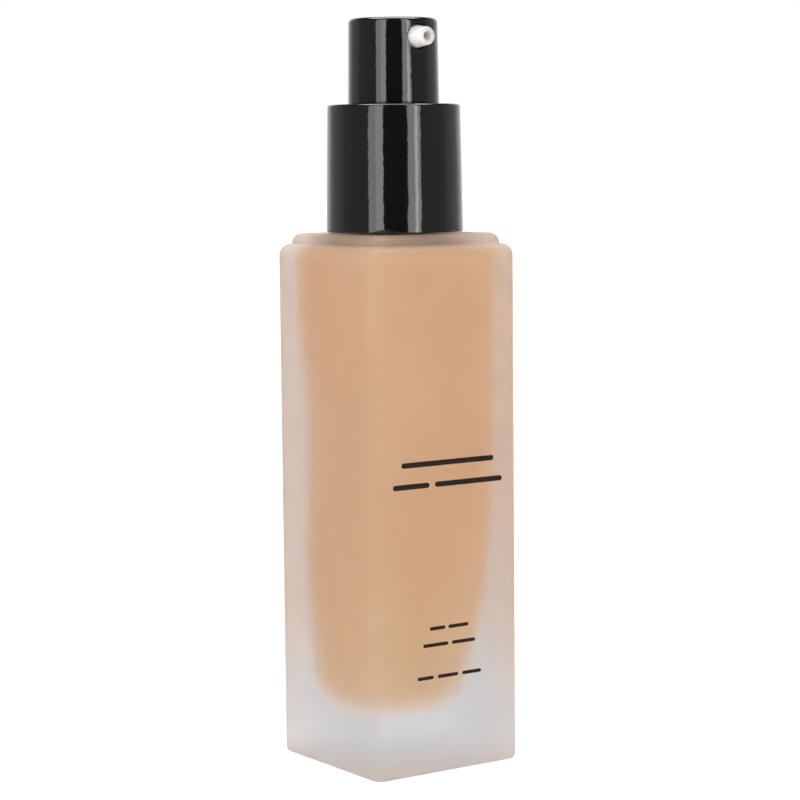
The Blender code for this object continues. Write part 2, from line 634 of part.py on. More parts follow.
def make_core(parts, cutters, plastic):
    """Hub with the stem socket, a disc under the shell's roof, ribs, and the boss that holds the nozzle."""
    core = turned("actuator_core", [
        (0.0, CORE_TOP), (CORE_DISC_RADIUS, CORE_TOP), (CORE_DISC_RADIUS, CORE_DISC_BOTTOM),
        (CORE_HUB_RADIUS, CORE_DISC_BOTTOM), (CORE_HUB_RADIUS - CHAMFER, CORE_BOTTOM), (0.0, CORE_BOTTOM),
    ], parts, plastic, closed=False)
    rib_end = CORE_DISC_RADIUS - CHAMFER
    rib_top = CORE_DISC_BOTTOM + CHAMFER
    for i in range(RIB_COUNT):
        bm = bmesh.new()
        bmesh.ops.create_cube(bm, size=1.0)
        bmesh.ops.scale(bm, vec=(rib_end - RIB_START, RIB_THICKNESS, RIB_HEIGHT), verts=bm.verts)
        rib = from_bmesh(f"core_rib_{i + 1}", bm, cutters)
        turn = Matrix.Rotation(math.tau * (i + 0.5) / RIB_COUNT, 3, "Z")
        rib.rotation_euler = turn.to_euler()
        rib.location = turn @ Vector(((rib_end + RIB_START) / 2, 0, rib_top - RIB_HEIGHT / 2))
        boolean(core, rib, "UNION")
    boss = from_bmesh("nozzle_boss", cylinder(BOSS_RADIUS, BOSS_START, NOZZLE_ROOT - CLEARANCE, 24), cutters)
    boolean(core, towards_nozzle(boss, NOZZLE_HEIGHT), "UNION")
    socket = turned("stem_socket", [
        (0.0, NOZZLE_HEIGHT), (CHANNEL_RADIUS, NOZZLE_HEIGHT), (CHANNEL_RADIUS, STEM_SOCKET_TOP),
        (STEM_SOCKET_RADIUS, STEM_SOCKET_TOP), (STEM_SOCKET_RADIUS, CORE_BOTTOM - OVERSHOOT),
        (0.0, CORE_BOTTOM - OVERSHOOT),
    ], cutters, steps=24, closed=False)
    spigot_end = NOZZLE_ROOT - SPIGOT_LENGTH - CLEARANCE
    outlet = turned("outlet_channel", [
        (0.0, NOZZLE_ROOT + OVERSHOOT), (BOSS_BORE_RADIUS, NOZZLE_ROOT + OVERSHOOT),
        (BOSS_BORE_RADIUS, spigot_end), (OUTLET_RADIUS, spigot_end), (OUTLET_RADIUS, 0.0), (0.0, 0.0),
    ], cutters, steps=20, closed=False)
    boolean(core, socket)
    return boolean(core, towards_nozzle(outlet, NOZZLE_HEIGHT))


def make_nozzle(parts, plastic):
    """Turned about its own bore: a spigot in the core's boss, a tapered barrel and a rounded tip."""
    edge = NOZZLE_EDGE_RADIUS
    lip = LIP_RADIUS
    spigot_end = NOZZLE_ROOT - SPIGOT_LENGTH
    nozzle = turned("nozzle", [
        *arc(NOZZLE_TIP_RADIUS - edge, NOZZLE_TIP - edge, edge, 90, 0),
        (NOZZLE_ROOT_RADIUS, NOZZLE_ROOT), (SPIGOT_RADIUS, NOZZLE_ROOT), (SPIGOT_RADIUS, spigot_end),
        (NOZZLE_BORE_RADIUS, spigot_end), (NOZZLE_BORE_RADIUS, NOZZLE_TIP - lip),
        (NOZZLE_BORE_RADIUS + lip, NOZZLE_TIP),
    ], parts, plastic, steps=28)
    return towards_nozzle(nozzle, NOZZLE_HEIGHT)


def joint_empty(name, where, pieces, parent=None):
    """An empty on a joint's axis that carries the pieces which move with it."""
    empty = bpy.data.objects.new(name, None)
    where.objects.link(empty)
    empty.parent = parent
    for piece in pieces:
        piece.parent = empty
    return empty


def main():
    clear_scene()
    parts = collection("foundation_bottle")
    cutters = collection("cutters")
    glass = material("frosted_glass", (0.86, 0.83, 0.82), 0.45, transmission=0.9)
    liquid = material("foundation", (0.66, 0.40, 0.22), 0.4)
    black = material("black_gloss_plastic", (0.012, 0.012, 0.012), 0.12)
    white = material("white_plastic", (0.86, 0.86, 0.87), 0.3)
    clear = material("translucent_plastic", (0.80, 0.82, 0.83), 0.35)
    rubber = material("seal_rubber", (0.75, 0.75, 0.74), 0.6)
    steel = material("spring_steel", (0.62, 0.62, 0.64), 0.25, metallic=1.0)

    bottle = make_bottle(parts, cutters, glass)
    fill = make_fill(parts, cutters, liquid)
    pump = [make_housing(parts, clear), make_chaplet(parts, clear), make_gasket(parts, rubber),
            make_dip_tube(parts, cutters, clear), make_spring(parts, steel)]
    ball = make_ball(parts, steel)
    closure = [make_cap(parts, cutters, black), make_sleeve(parts, black)]
    stem = [make_stem(parts, cutters, white), make_piston_seat(parts, white)]
    piston = make_piston(parts, rubber)
    head = [make_shell(parts, cutters, black), make_core(parts, cutters, white), make_nozzle(parts, white)]

    root = joint_empty("bottle_axis", parts, [bottle, fill])
    lift = joint_empty("pump_axis", parts, pump, root)
    joint_empty("closure_axis", parts, closure, lift)
    joint_empty("ball_axis", parts, [ball], lift)
    press = joint_empty("press_axis", parts, stem, lift)
    joint_empty("piston_axis", parts, [piston], press)
    joint_empty("head_axis", parts, head, press)


main()
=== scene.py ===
"""Looks of the foundation bottle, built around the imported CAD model.

Frosted glass filled with tan liquid, gloss black collar sleeve and press head, white side nozzle.
Metres, +Z up; the printed face and the nozzle look along -Y.
"""
import math

import bmesh
import bpy
from mathutils import Matrix, Vector


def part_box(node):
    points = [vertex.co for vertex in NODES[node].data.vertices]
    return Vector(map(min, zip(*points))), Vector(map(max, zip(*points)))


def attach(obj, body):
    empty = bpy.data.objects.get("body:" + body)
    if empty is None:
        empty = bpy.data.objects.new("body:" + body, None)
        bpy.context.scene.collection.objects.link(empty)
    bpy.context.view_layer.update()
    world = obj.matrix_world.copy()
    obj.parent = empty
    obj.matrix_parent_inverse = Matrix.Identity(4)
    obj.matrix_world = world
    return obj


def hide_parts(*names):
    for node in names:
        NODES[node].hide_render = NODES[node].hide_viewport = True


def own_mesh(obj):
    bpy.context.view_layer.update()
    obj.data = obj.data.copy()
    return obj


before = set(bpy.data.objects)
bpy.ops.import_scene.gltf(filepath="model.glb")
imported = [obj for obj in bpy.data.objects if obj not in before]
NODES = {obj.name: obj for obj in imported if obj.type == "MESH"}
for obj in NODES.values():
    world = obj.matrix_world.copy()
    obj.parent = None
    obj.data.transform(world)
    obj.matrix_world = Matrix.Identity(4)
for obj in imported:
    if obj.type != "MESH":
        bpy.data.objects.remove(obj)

SCENE = bpy.context.scene
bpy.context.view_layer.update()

# Camera
CAMERA_AZIMUTH = math.radians(-34.66)
CAMERA_PITCH = math.radians(5.87)
CAMERA_ROLL = math.radians(-0.565)
CAMERA_LENS = 112.0
CAMERA_SENSOR = 36.0
CAMERA_DISTANCE = 0.4287
CAMERA_AIM_SIDE = 0.000589
CAMERA_AIM_HEIGHT = 0.06223
CAMERA_CLIP = 0.01

# Glass body. The printing stands proud of it by PRINT_LIFT and ends at the CAD model's face.
BOTTLE_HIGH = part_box("glass_bottle")[1]
PRINT_LIFT = 0.00002
BODY_HALF = BOTTLE_HIGH.x - PRINT_LIFT
BODY_HEIGHT = 0.0892
BODY_CORNER_RADIUS = 0.0022
BODY_TOP_RADIUS = 0.0020
BODY_BOTTOM_RADIUS = 0.0010
TIER_HALF = 0.0134
TIER_TOP = 0.0910
TIER_CORNER_RADIUS = 0.0023
TIER_TOP_RADIUS = 0.0017
TIER_FOOT_RADIUS = 0.00009
PUSH_UP_RADIUS = 0.0095
PUSH_UP_DEPTH = 0.0005
PUSH_UP_STEPS = 4
NECK_RADIUS = 0.0078
NECK_FOOT_RADIUS = 0.0003
NECK_BORE_RADIUS = 0.0048
NECK_TOP = BOTTLE_HIGH.z
NECK_LIP_RADIUS = 0.0004
THREAD_PITCH = 0.003175
THREAD_DEPTH = 0.00105
THREAD_SINK = 0.0003
THREAD_ROOT_WIDTH = 0.0014
THREAD_CREST_WIDTH = 0.0007
THREAD_START = 0.0957
THREAD_TURNS = 1.25
THREAD_FADE_TURNS = 0.125
THREAD_LEAST_SHARE = 0.08

# Cavity: half its width, and how far its axis drifts towards +X -Y, at heights up the bottle
CAVITY_HALF_WIDTHS = ((0.0097, 0.0084), (0.0200, 0.0102), (0.0340, 0.0115), (0.0640, 0.0121),
                      (0.0780, 0.0130))
CAVITY_DRIFT = ((0.0130, -0.0017), (0.0260, -0.0004), (0.0360, 0.0), (0.0580, 0.0010), (0.0760, 0.0002))
CAVITY_BOTTOM = 0.0097
CAVITY_TOP = 0.0886
CAVITY_BULB = 0.0045
CAVITY_DOME = 0.0022
CAVITY_MOUTH = 0.0906
CAVITY_MOUTH_RADIUS = 0.0056
CAVITY_SQUARENESS = 5.3
BULB_SQUARENESS = 2.7
SQUARING_HEIGHT = 0.0200

# Liquid: a hair into the glass, so that no film of air lies between them. PUMP_ROOM is the space that it
# leaves for the pump, as (radius, height) points from the top down.
LIQUID_OVERLAP = 0.00004
PUMP_ROOM = ((0.0048, 0.0761), (0.0029, 0.0739), (0.0029, 0.0669), (0.00175, 0.0669), (0.00175, 0.0122))

# Return spring
SPRING_LOW, SPRING_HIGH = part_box("return_spring")
SPRING_RADIUS = 0.0026
SPRING_WIRE_RADIUS = 0.0003
SPRING_TURNS = 8
SPRING_END_RISE = 2.2 * SPRING_WIRE_RADIUS

# Black shells and the nozzle
SLEEVE_LOW, SLEEVE_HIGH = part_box("collar_sleeve")
SLEEVE_TOP_RADIUS = 0.01133
SLEEVE_EDGE_RADIUS = 0.0005
SLEEVE_HOLE_RADIUS = 0.0081
HEAD_LOW, HEAD_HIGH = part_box("actuator_shell")
HEAD_TOP_RADIUS = 0.00757
HEAD_EDGE_RADIUS = 0.0008
SHELL_WALL = 0.0009
SHELL_LIP_RADIUS = 0.0002
NOZZLE_LOW, NOZZLE_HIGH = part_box("nozzle")
NOZZLE_HEIGHT = (NOZZLE_LOW.z + NOZZLE_HIGH.z) / 2
NOZZLE_ROOT = 0.0062
NOZZLE_TIP = -NOZZLE_LOW.y
NOZZLE_ROOT_RADIUS = 0.0020
NOZZLE_TIP_RADIUS = 0.00153
NOZZLE_EDGE_RADIUS = 0.0004
NOZZLE_BORE_RADIUS = 0.00075
NOZZLE_LIP_RADIUS = 0.00018
NOZZLE_HOLE_RADIUS = 0.0022
SPIGOT_RADIUS = 0.0011
SPIGOT_LENGTH = 0.0016

# Printing, as plain bars: name, middle height, width of the row, height of a bar, shares of the row
PRINT_ROWS = (
    ("heading_1", 0.0530, 0.0190, 0.0009, (1.0,)),
    ("heading_2", 0.0494, 0.0225, 0.0009, (0.33, 0.62)),
    ("note_1", 0.0250, 0.0080, 0.0006, (0.40, 0.52)),
    ("note_2", 0.0222, 0.0108, 0.0006, (0.48, 0.45)),
    ("volume", 0.0167, 0.0132, 0.0006, (0.25, 0.32, 0.30)),
)

# Looks. A pair is the two tones that noise moves between. GLASS_TONES are (height, grey) stops up the glass
# body, from 0 at its foot to 1 at its shoulder; the lighter greys near the foot and the shoulder are
# painted light, from the floor below and from above.
GLASS_SKIN = ((0.89, 0.87, 0.87), (0.92, 0.90, 0.90))
GLASS_TONES = ((0.0, 0.98), (0.04, 0.98), (0.10, 0.89), (0.96, 0.89), (0.98, 0.96))
GLASS_TINT = (0.20, 0.51, 0.82, 1.0)
GLASS_ABSORPTION = 10.0
FOUNDATION_TONES = ((0.92, 0.54, 0.245), (0.95, 0.58, 0.285))
GLOSS_BLACK = (0.0035, 0.0035, 0.0034, 1.0)
SATIN_BLACK_TONES = ((0.010, 0.010, 0.010), (0.018, 0.018, 0.018))
WHITE_TONES = ((0.71, 0.705, 0.685), (0.74, 0.735, 0.715))
WHITE_GLOW_DEPTH = (0.0024, 0.0022, 0.0018)
CLEAR_TONES = ((0.74, 0.77, 0.78), (0.82, 0.84, 0.85))
SEAL_TONES = ((0.66, 0.66, 0.64), (0.76, 0.76, 0.74))
STEEL_TONES = ((0.52, 0.52, 0.54), (0.66, 0.66, 0.68))
INK_TONES = ((0.014, 0.008, 0.006), (0.022, 0.013, 0.010))

# Studio. A strip is its name, its bearing in degrees from the camera's own, anticlockwise from above, its
# width in degrees and its radiance. The worlds are (share, grey) stops: see World.towards.
STRIPS = (
    ("left_outer", -37.8, 13.0, 3.3),
    ("left_inner", -24.8, 13.0, 4.6),
    ("right_inner", 29.2, 12.4, 3.8),
    ("right_middle", 38.1, 5.5, 8.0),
    ("right_outer", 43.3, 4.9, 4.0),
)
STRIP_DISTANCE = 0.9
STRIP_LOW = -0.9
STRIP_HIGH = 1.1
REFLECTED_WORLD = ((0.0, 1.1), (0.067, 1.1), (0.179, 0.60), (0.413, 0.55), (0.456, 0.40), (0.854, 0.38),
                   (0.983, 0.08), (1.0, 0.08))
REFLECTED_HEIGHT = ((0.0, 1.0), (0.70, 1.0), (0.80, 0.35), (1.0, 0.2))
GLASS_WORLD = ((0.0, 0.48), (0.5, 0.40), (1.0, 0.71))
GLASS_HEIGHT = ((0.0, 1.0), (0.6, 1.0), (1.0, 2.0))
LIQUID_WORLD = ((0.0, 0.53), (0.6, 0.51), (1.0, 0.54))
MATT_WORLD = ((0.0, 0.1), (0.5, 0.15), (1.0, 2.75))
TOP_LIGHT_PLACE = (0.12, 0.10, 0.9)
TOP_LIGHT_SIZE = (0.9, 0.5)
TOP_LIGHT_RADIANCE = 9.5
FLOOR_HALF = 4.0
FLOOR_DROP = 0.0001
FLOOR_GREY = (0.4, 0.4, 0.4, 1.0)
FLOOR_GLOW = (1.0, 0.945, 0.90, 1.0)
FLOOR_GLOW_STRENGTH = 1.06

# Meshes. The points of a round section stand as on a rounded square, with corners of PLAIN_CORNER or
# CAVITY_CORNER of its half width, so that neighbouring levels join up without a twist.
CORNER_STEPS = 12
FLAT_STEPS = 6
PLAIN_CORNER = 0.2
CAVITY_CORNER = 0.6
LEAST_CORNER = 0.00005
AXIS_RADIUS = 0.000001
SHARP_ANGLE = math.radians(35)


# ---------------------------------------------------------------- mesh helpers

def mesh_object(name, bm, body, surface):
    """A finished piece riding on a CAD body, smooth except across sharp edges."""
    bmesh.ops.recalc_face_normals(bm, faces=bm.faces)
    mesh = bpy.data.meshes.new(name)
    bm.to_mesh(mesh)
    bm.free()
    mesh.materials.append(surface)
    mesh.shade_smooth()
    mesh.set_sharp_from_angle(angle=SHARP_ANGLE)
    obj = bpy.data.objects.new(name, mesh)
    SCENE.collection.objects.link(obj)
    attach(obj, body)
    return obj


def bridge(rings, closed=False):
    """Quads between rings of equally many points; a closed sequence joins the last ring to the first."""
    bm = bmesh.new()
    rows = [[bm.verts.new(point) for point in ring] for ring in rings]
    count = len(rows[0])
    pairs = list(zip(rows, rows[1:]))
    if closed:
        pairs.append((rows[-1], rows[0]))
    for low, high in pairs:
        for i in range(count):
            j = (i + 1) % count
            bm.faces.new((low[i], low[j], high[j], high[i]))
    if not closed:
        bm.faces.new(reversed(rows[0]))
        bm.faces.new(rows[-1])
    return bm


def circle(radius, z, count):
    """One level of a turned piece."""
    angles = [math.tau * (i + 0.5) / count for i in range(count)]
    return [(radius * math.cos(angle), radius * math.sin(angle), z) for angle in angles]


def turned(profile, steps=128, closed=True):
    """A solid turned about Z from (radius, z) points; an open profile gets flat ends."""
    return bridge([circle(max(radius, AXIS_RADIUS), z, steps) for radius, z in profile], closed)


def arc(centre_radius, centre_z, radius, start_deg, end_deg, segments=8):
    """Points (radius, z) of an arc round a centre."""
    points = []
    for i in range(segments + 1):
        angle = math.radians(start_deg + (end_deg - start_deg) * i / segments)
        points.append((centre_radius + radius * math.cos(angle), centre_z + radius * math.sin(angle)))
    return points


def rounded_square(half, corner, z):
    """One level of a square section with round corners, anticlockwise."""
    ring = []
    for quarter in range(4):
        spin = Matrix.Rotation(math.radians(90 * quarter), 2)
        for i in range(CORNER_STEPS + 1):
            angle = math.radians(90 * i / CORNER_STEPS)
            ring.append(spin @ Vector((half - corner + corner * math.cos(angle),
                                       half - corner + corner * math.sin(angle))))
        for i in range(1, FLAT_STEPS + 1):
            share = i / (FLAT_STEPS + 1)
            ring.append(spin @ Vector(((half - corner) * (1 - 2 * share), half)))
    return [(point.x, point.y, z) for point in ring]


def bearings(corner):
    """The bearings of a rounded square's points, for sections that join up with one."""
    return [math.atan2(y, x) for x, y, _ in rounded_square(1.0, corner, 0.0)]


def round_section(radius, z, corner=PLAIN_CORNER):
    """One level of a round section that joins up with a rounded square."""
    return [(radius * math.cos(bearing), radius * math.sin(bearing), z) for bearing in bearings(corner)]


def rounded_edge(half, corner, z, radius, start_deg, end_deg, segments=8):
    """Rings of a square section round a convex edge: the section shrinks as the angle leaves the wall."""
    rings = []
    for i in range(segments + 1):
        angle = math.radians(start_deg + (end_deg - start_deg) * i / segments)
        shrink = radius * (1 - math.cos(angle))
        height = z + radius * math.sin(angle)
        rings.append(rounded_square(half - shrink, max(corner - shrink, LEAST_CORNER), height))
    return rings


def towards_nozzle(bm):
    """Lays a piece turned about Z along -Y, at the nozzle's height."""
    place = Matrix.Translation((0, 0, NOZZLE_HEIGHT)) @ Matrix.Rotation(math.radians(90), 4, "X")
    bmesh.ops.transform(bm, matrix=place, verts=bm.verts)
    return bm


def boolean(obj, bm, operation):
    """Joins or cuts a piece with a tool that isn't kept."""
    bmesh.ops.recalc_face_normals(bm, faces=bm.faces)
    mesh = bpy.data.meshes.new("tool")
    bm.to_mesh(mesh)
    bm.free()
    tool = bpy.data.objects.new("tool", mesh)
    SCENE.collection.objects.link(tool)
    modifier = obj.modifiers.new("tool", "BOOLEAN")
    modifier.object = tool
    modifier.operation = operation
    modifier.solver = "EXACT"
    bpy.context.view_layer.update()
    evaluated = obj.evaluated_get(bpy.context.evaluated_depsgraph_get())
    finished = bpy.data.meshes.new_from_object(evaluated)
    obj.modifiers.clear()
    obj.data = finished
    obj.data.set_sharp_from_angle(angle=SHARP_ANGLE)
    bpy.data.objects.remove(tool)


# ---------------------------------------------------------------------- cavity

def slope_at(points, i):
    """The slope of a curve through (height, value) points at point i, from its neighbours."""
    low = points[max(i - 1, 0)]
    high = points[min(i + 1, len(points) - 1)]
    return (high[1] - low[1]) / (high[0] - low[0])


def smooth_value(points, z):
    """The value at a height on a smooth curve through (height, value) points, level beyond both ends."""
    if z <= points[0][0]:
        return points[0][1]
    if z >= points[-1][0]:
        return points[-1][1]
    i = max(n for n, point in enumerate(points) if point[0] <= z)
    (z_low, low), (z_high, high) = points[i], points[i + 1]
    span = z_high - z_low
    t = (z - z_low) / span
    rise = (3 - 2 * t) * t * t
    bend_low = slope_at(points, i) * span * t * (1 - t) ** 2
    bend_high = slope_at(points, i + 1) * span * t * t * (t - 1)
    return low + (high - low) * rise + bend_low + bend_high


def rounding(radius, share):
    """How far a quarter round has drawn in: nothing where share is 1, the whole radius where it is 0."""
    return radius * (1 - math.sqrt(1 - (1 - share) ** 2))


def cavity_ring(z, outset):
    """One level of the cavity: a superellipse, drawn in towards the bulb's floor and the dome's roof."""
    floor, roof = CAVITY_BOTTOM - outset, CAVITY_TOP + outset
    half = smooth_value(CAVITY_HALF_WIDTHS, z) + outset
    half -= rounding(CAVITY_BULB, max(0.0, min(1.0, (z - floor) / CAVITY_BULB)))
    half -= rounding(CAVITY_DOME, max(0.0, min(1.0, (roof - z) / CAVITY_DOME)))
    squared = min(1.0, (z - floor) / SQUARING_HEIGHT)
    squareness = BULB_SQUARENESS + (CAVITY_SQUARENESS - BULB_SQUARENESS) * squared
    drift = smooth_value(CAVITY_DRIFT, z) / math.sqrt(2)
    ring = []
    for bearing in bearings(CAVITY_CORNER):
        c, s = math.cos(bearing), math.sin(bearing)
        reach = half * (abs(c) ** squareness + abs(s) ** squareness) ** (-1 / squareness)
        ring.append((reach * c + drift, reach * s - drift, z))
    return ring


def cavity_rings(outset=0.0, bulb_steps=14, wall_steps=28, dome_steps=8):
    """The cavity from its floor: a bulb, a wall that widens upwards, a dome, and a cone up to the neck."""
    floor = CAVITY_BOTTOM - outset
    roof = CAVITY_TOP + outset
    levels = [floor + CAVITY_BULB * (1 - math.cos(math.radians(90 * i / bulb_steps)))
              for i in range(bulb_steps + 1)]
    wall = roof - CAVITY_DOME - levels[-1]
    levels += [levels[-1] + wall * i / wall_steps for i in range(1, wall_steps + 1)]
    levels += [roof - CAVITY_DOME * (1 - math.sin(math.radians(90 * i / dome_steps)))
               for i in range(1, dome_steps + 1)]
    mouth = round_section(CAVITY_MOUTH_RADIUS + outset, CAVITY_MOUTH + outset, CAVITY_CORNER)
    return [cavity_ring(z, outset) for z in levels] + [mouth]


# ------------------------------------------------------------ material helpers

def set_stops(color_ramp, stops):
    """Gives a ramp its (place, colour or grey value) stops."""
    while len(color_ramp.elements) < len(stops):
        color_ramp.elements.new(1.0)
    for element, (place, value) in zip(color_ramp.elements, stops):
        element.position = place
        element.color = (*value, 1.0) if isinstance(value, tuple) else (value, value, value, 1.0)


class Surface:
    """A node material around one Principled shader."""

    def __init__(self, name, **inputs):
        self.material = bpy.data.materials.new(name)
        self.material.use_nodes = True
        self.tree = self.material.node_tree
        self.shader = self.tree.nodes["Principled BSDF"]
        self.coordinates = self.tree.nodes.new("ShaderNodeTexCoord").outputs["Object"]
        for key, value in inputs.items():
            self.shader.inputs[key.replace("_", " ")].default_value = value

    def noise(self, scale, detail=3.0, roughness=0.5, stretch=None):
        """Noise over the object's own coordinates; scale is features a metre."""
        node = self.tree.nodes.new("ShaderNodeTexNoise")
        node.inputs["Scale"].default_value = scale
        node.inputs["Detail"].default_value = detail
        node.inputs["Roughness"].default_value = roughness
        source = self.coordinates
        if stretch:
            mapping = self.tree.nodes.new("ShaderNodeMapping")
            mapping.inputs["Scale"].default_value = stretch
            self.tree.links.new(source, mapping.inputs["Vector"])
            source = mapping.outputs["Vector"]
        self.tree.links.new(source, node.inputs["Vector"])
        return node.outputs["Fac"]

    def height(self):
        """The height up the object, in metres."""
        node = self.tree.nodes.new("ShaderNodeSeparateXYZ")
        self.tree.links.new(self.coordinates, node.inputs["Vector"])
        return node.outputs["Z"]

    def span(self, value, low, high):
        """A value mapped so that low becomes 0 and high becomes 1."""
        node = self.tree.nodes.new("ShaderNodeMapRange")
        node.inputs["From Min"].default_value = low
        node.inputs["From Max"].default_value = high
        self.tree.links.new(value, node.inputs["Value"])
        return node.outputs["Result"]

    def ramp(self, factor, *stops):
        """A colour ramp through (place, colour or grey value) stops."""
        node = self.tree.nodes.new("ShaderNodeValToRGB")
        set_stops(node.color_ramp, stops)
        self.tree.links.new(factor, node.inputs["Fac"])
        return node.outputs["Color"]

    def multiply(self, first, second):
        node = self.tree.nodes.new("ShaderNodeMix")
        node.data_type = "RGBA"
        node.blend_type = "MULTIPLY"
        node.inputs[0].default_value = 1.0
        self.tree.links.new(first, node.inputs[6])
        self.tree.links.new(second, node.inputs[7])
        return node.outputs[2]

    def link(self, source, socket):
        self.tree.links.new(source, self.shader.inputs[socket])

    def vary(self, socket, noise, values, places=(0.3, 0.7)):
        """Makes an input go from the first value to the second as noise rises between two places."""
        self.link(self.ramp(noise, *zip(places, values)), socket)

    def bump(self, height, strength, distance):
        node = self.tree.nodes.new("ShaderNodeBump")
        node.inputs["Strength"].default_value = strength
        node.inputs["Distance"].default_value = distance
        self.tree.links.new(height, node.inputs["Height"])
        self.tree.links.new(node.outputs["Normal"], self.shader.inputs["Normal"])


def frosted_glass():
    """Etched glass: a thin milky skin with a fine grain, and a body that greys what passes through it. The
    skin is painted lighter near the foot and the shoulder, as painted light from the floor and from above.
    """
    surface = Surface("frosted_glass_look", Transmission_Weight=0.90, IOR=1.5)
    cloud = surface.ramp(surface.noise(180.0, detail=2.0), (0.35, GLASS_SKIN[0]), (0.65, GLASS_SKIN[1]))
    # Painted light: the skin's grey is lighter near the foot and the shoulder, where the floor and the
    # light from above fall
    painted_light_at_ends = surface.ramp(surface.span(surface.height(), 0.0, BODY_HEIGHT), *GLASS_TONES)
    surface.link(surface.multiply(cloud, painted_light_at_ends), "Base Color")
    surface.vary("Roughness", surface.noise(900.0), (0.60, 0.64))
    surface.bump(surface.noise(9000.0, detail=2.0), 0.08, 0.00002)
    absorption = surface.tree.nodes.new("ShaderNodeVolumeAbsorption")
    absorption.inputs["Color"].default_value = GLASS_TINT
    absorption.inputs["Density"].default_value = GLASS_ABSORPTION
    output = surface.tree.nodes["Material Output"]
    surface.tree.links.new(absorption.outputs["Volume"], output.inputs["Volume"])
    return surface.material


def foundation():
    """Opaque tan emulsion with faint streaks where it has settled."""
    surface = Surface("foundation_look", Roughness=0.6, Specular_IOR_Level=0.0)
    streaks = surface.noise(90.0, detail=4.0, stretch=(1.0, 1.0, 0.35))
    surface.vary("Base Color", streaks, FOUNDATION_TONES, places=(0.35, 0.68))
    return surface.material


def gloss_black():
    """Moulded gloss plastic with a slight waviness and a faint, uneven haze."""
    surface = Surface("gloss_black_look", Base_Color=GLOSS_BLACK, IOR=1.5)
    haze = surface.noise(700.0, detail=5.0, roughness=0.6)
    surface.vary("Roughness", haze, (0.045, 0.085), places=(0.35, 0.7))
    surface.bump(surface.noise(150.0, detail=4.0, roughness=0.55), 0.42, 0.00015)
    return surface.material


def white_plastic():
    """Milky plastic that light enters a few millimetres."""
    surface = Surface("white_plastic_look", Subsurface_Weight=1.0, IOR=1.46,
                      Subsurface_Radius=WHITE_GLOW_DEPTH, Subsurface_Scale=1.0)
    surface.vary("Base Color", surface.noise(600.0), WHITE_TONES)
    surface.vary("Roughness", surface.noise(1500.0), (0.28, 0.36))
    surface.bump(surface.noise(2600.0), 0.1, 0.00002)
    return surface.material


def plain_look(name, tones, roughness, metallic=0.0, transmission=0.0, grain=2500.0):
    """Plastic, rubber or metal with its own tones, range of roughness and grain."""
    surface = Surface(name, Metallic=metallic, Transmission_Weight=transmission)
    surface.vary("Base Color", surface.noise(500.0, detail=4.0), tones)
    surface.vary("Roughness", surface.noise(1200.0), roughness)
    surface.bump(surface.noise(grain), 0.12, 0.00003)
    return surface.material


def ink():
    """Matt screen print, a little uneven."""
    surface = Surface("ink_look", Specular_IOR_Level=0.15)
    surface.vary("Base Color", surface.noise(2500.0), INK_TONES)
    surface.vary("Roughness", surface.noise(4000.0), (0.5, 0.65))
    return surface.material


# --------------------------------------------------------------------- pieces

def neck_thread(steps_per_turn=72):
    """The helical ridge on the neck, sunk a little into it and fading out at both ends."""
    steps = round(THREAD_TURNS * steps_per_turn)
    fade = THREAD_FADE_TURNS * steps_per_turn
    sunk = NECK_RADIUS - THREAD_SINK
    rings = []
    for i in range(steps + 1):
        z = THREAD_START + THREAD_PITCH * i / steps_per_turn
        share = max(THREAD_LEAST_SHARE, min(1.0, i / fade, (steps - i) / fade))
        crest = NECK_RADIUS + THREAD_DEPTH * share
        spin = Matrix.Rotation(math.tau * i / steps_per_turn, 4, "Z")
        section = ((sunk, -THREAD_ROOT_WIDTH / 2), (crest, -THREAD_CREST_WIDTH / 2),
                   (crest, THREAD_CREST_WIDTH / 2), (sunk, THREAD_ROOT_WIDTH / 2))
        rings.append([spin @ Vector((radius, 0, z + dz)) for radius, dz in section])
    return bridge(rings)


def make_bottle(surface):
    """One closed glass body: outside up to the neck's rim, then down the bore and round the cavity."""
    rings = []
    for i in range(1, PUSH_UP_STEPS + 1):
        share = i / PUSH_UP_STEPS
        rings.append(round_section(PUSH_UP_RADIUS * share, PUSH_UP_DEPTH * (1 - share ** 2)))
    rings += rounded_edge(BODY_HALF, BODY_CORNER_RADIUS, BODY_BOTTOM_RADIUS, BODY_BOTTOM_RADIUS, -90, 0)
    rings += rounded_edge(BODY_HALF, BODY_CORNER_RADIUS, BODY_HEIGHT - BODY_TOP_RADIUS, BODY_TOP_RADIUS,
                          0, 90)
    rings.append(rounded_square(TIER_HALF + TIER_FOOT_RADIUS, TIER_CORNER_RADIUS, BODY_HEIGHT))
    rings += rounded_edge(TIER_HALF, TIER_CORNER_RADIUS, TIER_TOP - TIER_TOP_RADIUS, TIER_TOP_RADIUS, 0, 90)
    lip = NECK_LIP_RADIUS
    neck = (
        (NECK_RADIUS + NECK_FOOT_RADIUS, TIER_TOP), (NECK_RADIUS, TIER_TOP + NECK_FOOT_RADIUS),
        *arc(NECK_RADIUS - lip, NECK_TOP - lip, lip, 0, 90),
        (NECK_BORE_RADIUS + lip / 2, NECK_TOP), (NECK_BORE_RADIUS, NECK_TOP - lip / 2),
        (NECK_BORE_RADIUS, CAVITY_MOUTH),
    )
    rings += [round_section(radius, z) for radius, z in neck]
    rings += list(reversed(cavity_rings()))
    bottle = mesh_object("frosted_bottle", bridge(rings), "bottle", surface)
    boolean(bottle, neck_thread(), "UNION")
    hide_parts("glass_bottle")


def make_liquid(surface):
    """The fill, with the space that the pump and its dip tube take."""
    rings = cavity_rings(LIQUID_OVERLAP)
    rings.append(round_section(PUMP_ROOM[0][0], CAVITY_MOUTH + LIQUID_OVERLAP))
    rings += [round_section(radius, z) for radius, z in PUMP_ROOM]
    liquid = mesh_object("foundation_liquid", bridge(rings), "bottle", surface)
    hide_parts("foundation_fill")


